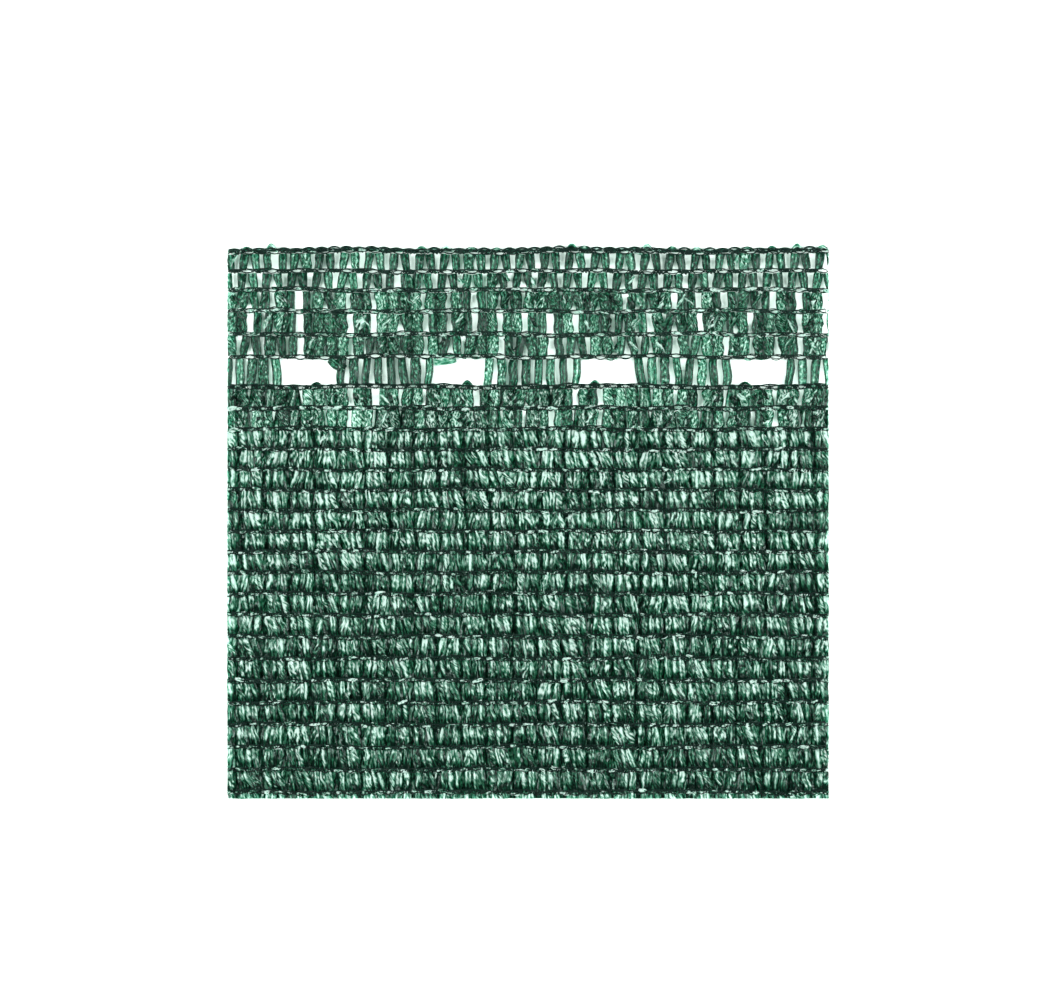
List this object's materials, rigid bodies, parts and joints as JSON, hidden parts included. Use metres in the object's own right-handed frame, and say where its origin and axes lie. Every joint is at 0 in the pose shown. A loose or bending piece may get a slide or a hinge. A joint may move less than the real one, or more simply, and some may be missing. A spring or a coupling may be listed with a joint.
{
  "type": "knitted privacy screen net",
  "caption": "Flat cut length of knitted green privacy screen: close net below, an open selvedge band with slit buttonholes above.",
  "frame": {"origin": "middle of the underside, where the net lies on a surface", "axes": "+X along the chain rows, +Y towards the buttonhole selvedge, +Z out of the face"},
  "size_m": [0.12, 0.1106, 0.0019],
  "materials": {
    "tape": "glossy crinkled polyethylene tape, mid green",
    "thread": "thin dark green-black polyethylene thread"
  },
  "bodies": {
    "root": {"buttonhole_band": "tape", "net_panel": "tape"}
  },
  "joints": []
}
